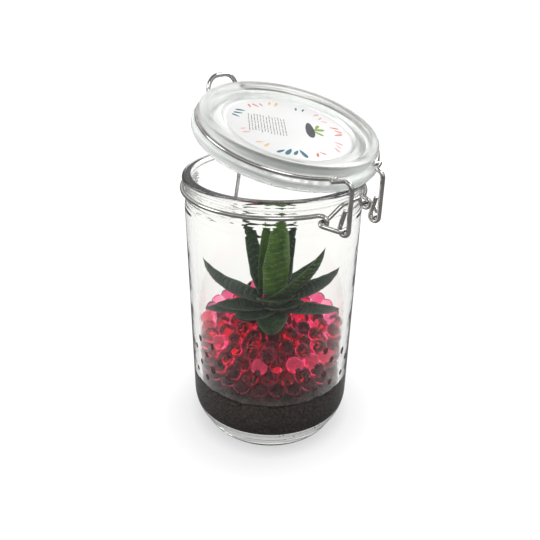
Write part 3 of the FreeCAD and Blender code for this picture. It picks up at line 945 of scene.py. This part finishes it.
plant = {
    "startShare": 0.8, "thick": 0.23, "swell": 0.25, "rows": 90, "sides": 20, "teeth": 30,
    "toothDepth": 0.55, "toothMiddle": 0.4, "bands": 15, "bandHeight": 0.25, "bandArc": 0.5,
    "bandGap": 0.35, "bandEnds": (0.04, 0.96), "faintBand": 0.45, "edgePale": 0.7, "edgeSharp": 8,
    "tipSharp": 14, "leastWidth": 0.03, "rest": 0.5,
}
leafTable = {  # bearing, then shares: reach, tip, start, width, rise, youth, bluntness
    "01": (232, 0.90, 0.168, 0.133, 0.166, 0.35, 0, 0.3),
    "02": (31, 0.92, 0.185, 0.133, 0.175, 0.35, 0, 0.22),
    "03": (312, 0.72, 0.150, 0.142, 0.228, 0.40, 0.1, 0),
    "04": (275, 0.70, 0.229, 0.150, 0.228, 0.35, 0, 0),
    "05": (245, 0.77, 0.255, 0.168, 0.201, 0.35, 0, 0),
    "06": (350, 0.62, 0.334, 0.177, 0.245, 0.40, 0, 0),
    "07": (219, 0.93, 0.518, 0.203, 0.201, 0.30, 0, 0),
    "08": (50, 0.94, 0.439, 0.203, 0.210, 0.32, 0, 0),
    "09": (74, 0.76, 0.439, 0.220, 0.193, 0.40, 0.05, 0),
    "10": (113, 0.78, 0.509, 0.212, 0.175, 0.35, 0, 0),
    "11": (156, 0.74, 0.614, 0.220, 0.175, 0.35, 0, 0),
    "12": (325, 0.50, 0.334, 0.238, 0.271, 0.55, 0.12, 0.35),
    "13": (358, 0.84, 0.770, 0.255, 0.250, 0.45, 0.35, 0),
    "14": (186, 0.48, 0.915, 0.255, 0.180, 0.45, 0.1, 0),
    "15": (88, 0.44, 0.807, 0.255, 0.158, 0.50, 0.05, 0),
    "16": (350, 0.18, 0.947, 0.299, 0.245, 0.60, 0.95, 0),
    "17": (180, 0.13, 0.825, 0.299, 0.193, 0.60, 1.0, 0),
}
leafStations = (0.0, 0.3, 0.6, 0.85, 1.0)
leafWidths = (0.90, 1.0, 0.70, 0.34, 0.0)
leafLook = {
    "old": [(0.006, 0.015, 0.009), (0.018, 0.036, 0.02), (0.09, 0.13, 0.08)],
    "oldDrift": (260, 1000, 0.2),
    "young": [(0.04, 0.11, 0.008), (0.1, 0.21, 0.018), (0.24, 0.34, 0.08)],
    "youngDrift": (120, 1100, 0.14),
    "wartEdge": (0.42, 0.3), "wartPale": (0.15, 1.0), "pale": (0.3, 0.4, 0.22), "wartScale": 750.0,
    "wartHeight": 0.6, "wartDepth": 0.0003, "uneven": (700, 0.6, 0.0005, 3.0), "rough": (0.38, 0.6),
    "gloss": 0.12, "inside": 0.1, "insideScale": 0.002, "insideTint": (0.4, 1.0, 0.2),
}


def makeLeafMaterial():
    material, tree, shader = newMaterial("bandedLeaf")
    given = tree.add("Attribute", {"attribute_name": "leafLook"})
    look = tree.add("SeparateXYZ", Vector=given.outputs["Vector"])
    youth, band, edge = look.outputs["X"], look.outputs["Y"], look.outputs["Z"]
    old = addDrift(tree, *leafLook["old"], *leafLook["oldDrift"])
    young = addDrift(tree, *leafLook["young"], *leafLook["youngDrift"])
    body = tree.blend(youth, old.outputs["Color"], young.outputs["Color"], colour=True)
    # pale bands of small warts, and a pale toothed margin
    warts = tree.add("TexVoronoi", {"Scale": leafLook["wartScale"]}, Vector=tree.place())
    dot = tree.span(warts.outputs["Distance"], *leafLook["wartEdge"], *leafLook["wartPale"])
    mask = tree.combine("MULTIPLY", band, dot)
    rim = tree.combine("MAXIMUM", mask, edge)
    tree.link(tree.blend(rim, body, (*leafLook["pale"], 1), colour=True), shader.inputs["Base Color"])
    paintSurface(tree, shader, leafLook)
    raised = tree.add("Bump", {"Strength": leafLook["wartHeight"], "Distance": leafLook["wartDepth"]},
                      Height=mask, Normal=shader.inputs["Normal"].links[0].from_socket)
    tree.link(raised.outputs["Normal"], shader.inputs["Normal"])
    setLook(shader, {"Subsurface Weight": leafLook["inside"],
                     "Subsurface Scale": leafLook["insideScale"],
                     "Subsurface Radius": leafLook["insideTint"]})
    return material


def makeLeaf(name, material):
    bearing, reachShare, tipShare, startShare, widthShare, riseShare, youth, blunt = leafTable[name]
    tall = foot["plantTall"]
    startRadius = foot["crownRadius"] * plant["startShare"]
    tip = Vector((reachShare * wallInside(jar["shoulderHeight"]), 0, bedTop + tipShare * tall))
    start = Vector((startRadius, 0, bedTop + startShare * tall))
    middle = Vector((startRadius + (tip.x - startRadius) * (1 - riseShare / 2), 0,
                     start.z + (tip.z - start.z) * riseShare))
    bm = bmesh.new()
    bmesh.ops.create_cone(bm, cap_ends=True, segments=plant["sides"], radius1=1, radius2=1, depth=1)
    longEdges = [edge for edge in bm.edges if abs(edge.verts[0].co.z - edge.verts[1].co.z) > 0.5]
    bmesh.ops.subdivide_edges(bm, edges=longEdges, cuts=plant["rows"])
    values = []
    for vert in bm.verts:
        along, angle = min(max(vert.co.z + 0.5, 0), 1), atan2(vert.co.y, vert.co.x)
        margin, sideways = cos(angle), sin(angle)
        rest = 1 - along
        centre = start * rest * rest + middle * 2 * rest * along + tip * along * along
        slopeWay = (middle - start) * rest + (tip - middle) * along
        rise = atan2(slopeWay.z, slopeWay.x)
        top = Vector((-sin(rise), 0, cos(rise)))
        breadth = float(numpy.interp(along, leafStations, leafWidths))
        breadth = max(breadth, blunt * min(1, (1 - along) * plant["tipSharp"]), plant["leastWidth"])
        tooth = abs((along * plant["teeth"]) % 1 - 0.5) * 2
        onEdge = abs(margin) ** plant["edgeSharp"]
        half = widthShare * tall * breadth / 2
        spread = margin * (half + onEdge * plant["toothDepth"] * (tooth - plant["toothMiddle"])
                           * min(1, breadth * 2))
        lift = 2 * half * plant["thick"] * (
            0.5 - (plant["swell"] if sideways > 0 else 1.0) * sideways * sideways)
        bandWave = cos(tau * (along * plant["bands"] + plant["bandArc"] * abs(margin)))
        banded = plant["bandEnds"][0] < along < plant["bandEnds"][1]
        band = max(0, bandWave - plant["bandGap"]) / (1 - plant["bandGap"]) if banded else 0
        if sideways <= 0:
            lift -= plant["bandHeight"] * band * min(1, breadth * 2) * (1 - onEdge)
        vert.co = centre + across * spread + top * lift
        vert.co.z = max(vert.co.z, bedTop + plant["rest"])
        values.append((youth, band * (1.0 if sideways <= 0.2 else plant["faintBand"]),
                       onEdge * tooth * plant["edgePale"]))
    bm.transform(Matrix.Diagonal((mm, mm, mm, 1)))
    bm.transform(turned(bearing, upward))
    bmesh.ops.recalc_face_normals(bm, faces=bm.faces)
    piece = finishPiece("leafBanded" + name, bm, material, "jar", "leaf_skin", "leaf_" + name)
    look = piece.data.attributes.new("leafLook", "FLOAT_VECTOR", "POINT")
    for spot, value in zip(look.data, values):
        spot.vector = value


leafMaterial = makeLeafMaterial()
for leafName in leafTable:
    makeLeaf(leafName, leafMaterial)
print("plant made")


# the round label and its print

labelLook = {
    "colours": [(0.95, 0.95, 0.94), (0.98, 0.98, 0.98), (0.9, 0.9, 0.89)], "drift": (60, 2000, 0.1),
    "uneven": (400, 0.1, 0.0002), "rough": (0.3, 0.45),
}
printLook = {
    "ink": (0.045, 0.045, 0.05), "teal": (0.02, 0.16, 0.22), "coral": (0.78, 0.22, 0.17),
    "pink": (0.85, 0.45, 0.46), "sand": (0.88, 0.58, 0.26), "sprout": (0.26, 0.42, 0.04),
}
printPlan = {
    "facing": 48.0, "thick": 0.03, "border": 29.5, "borderRun": 2.5, "lean": 35, "petalGap": 8,
    "petalTaper": 0.55, "petalWide": 0.42, "rules": 13, "rulePitch": 1.65, "ruleFrom": -22.0,
    "ruleWide": 0.34, "ruleEnds": (-11.0, 9.0), "wordLength": (1.5, 5.0), "wordGap": (0.5, 1.0),
    "tones": (0.9, 1.1, 1.2), "petals": [  # ink, bearing on the label, petals, length
        ("coral", 12, 3, 6.0), ("pink", 44, 3, 5.0), ("teal", 72, 2, 4.4), ("sand", 104, 2, 5.4),
        ("coral", 128, 3, 4.8), ("teal", 163, 3, 5.6), ("pink", 205, 2, 4.2), ("sand", 236, 2, 5.0),
        ("teal", 268, 4, 7.6), ("coral", 300, 2, 4.8), ("pink", 334, 3, 5.4)],
    "hill": (12.0, 2.0, 9.5, 6.0), "stems": [(-35, 7.0), (20, 9.0), (65, 6.4)],
}


def printShape(bm, spot, turn, size, sides=4, taper=0.0):
    # a flat printed shape: four sides make a bar, more sides a petal
    made = bmesh.ops.create_cone(bm, cap_ends=True, segments=sides, radius1=0.5, radius2=0.5, depth=1)
    verts = made["verts"]
    if sides == 4:
        bmesh.ops.rotate(bm, verts=verts, matrix=turned(45, upward, 3))
        bmesh.ops.scale(bm, verts=verts, vec=(sqrt(2), sqrt(2), 1))
    for vert in verts:
        vert.co.y *= 1 - taper * (vert.co.x + 0.5)
    thick = printPlan["thick"]
    level = panelTop + lid["label"] + thick / 2
    place = (turned(printPlan["facing"], upward)
             @ Matrix.Translation(Vector((spot[0], spot[1], level)) * mm)
             @ turned(turn, upward)
             @ Matrix.Diagonal((size[0] * mm, size[1] * mm, thick * mm, 1)))
    bmesh.ops.transform(bm, matrix=ajar @ place, verts=verts)


def makeLabel():
    low, high, edge = panelTop, panelTop + lid["label"], panelRadius - lid["labelMargin"]
    bm = lathe([(0, low, 0), (edge, low, 0.05), (edge, high, 0.1), (0, high, 0)], 96, 2)
    bm.transform(ajar)
    finishPiece("labelDisc", bm, paintedMaterial("labelFilm", labelLook), "lid", "label_film",
                "lid_label")


def makePrint():
    prints = {ink: bmesh.new() for ink in printLook}
    for row in range(printPlan["rules"]):
        column = printPlan["ruleFrom"] + row * printPlan["rulePitch"]
        along = printPlan["ruleEnds"][0] + luck.uniform(0, 2)
        while along < printPlan["ruleEnds"][1]:
            length = luck.uniform(*printPlan["wordLength"])
            printShape(prints["ink"], (column, along + length / 2), 90, (length, printPlan["ruleWide"]))
            along += length + luck.uniform(*printPlan["wordGap"])
    for ink, bearing, count, length in printPlan["petals"]:
        for index in range(count):
            turn = bearing + (index - (count - 1) / 2) * printPlan["petalGap"]
            reach = printPlan["border"] - luck.uniform(0, printPlan["borderRun"])
            spot = (cos(radians(turn)) * reach, sin(radians(turn)) * reach)
            lean = turn + 180 + luck.uniform(-printPlan["lean"], printPlan["lean"])
            size = length * luck.uniform(0.75, 1.1)
            printShape(prints[ink], spot, lean, (size, size * printPlan["petalWide"]), 14,
                       printPlan["petalTaper"])
    x, y, long, tall = printPlan["hill"]
    printShape(prints["ink"], (x, y), 90, (long * 1.9, tall), 24, 0.3)
    for lean, size in printPlan["stems"]:
        spot = (x + tall / 2 + 1.4, y + lean / 14)
        printShape(prints["sprout"], spot, lean + 180, (size, size * 0.4), 14, 0.6)
    for ink, bm in prints.items():
        name = "print" + ink.capitalize()
        shades = [tuple(part * share for part in printLook[ink]) for share in printPlan["tones"]]
        material = paintedMaterial(name, {"colours": shades, "drift": (300, 2500, 0.1), "rough": 0.4})
        finishPiece(name, bm, material, "lid", "label_film", smooth=False)


makeLabel()
makePrint()
print("label made")
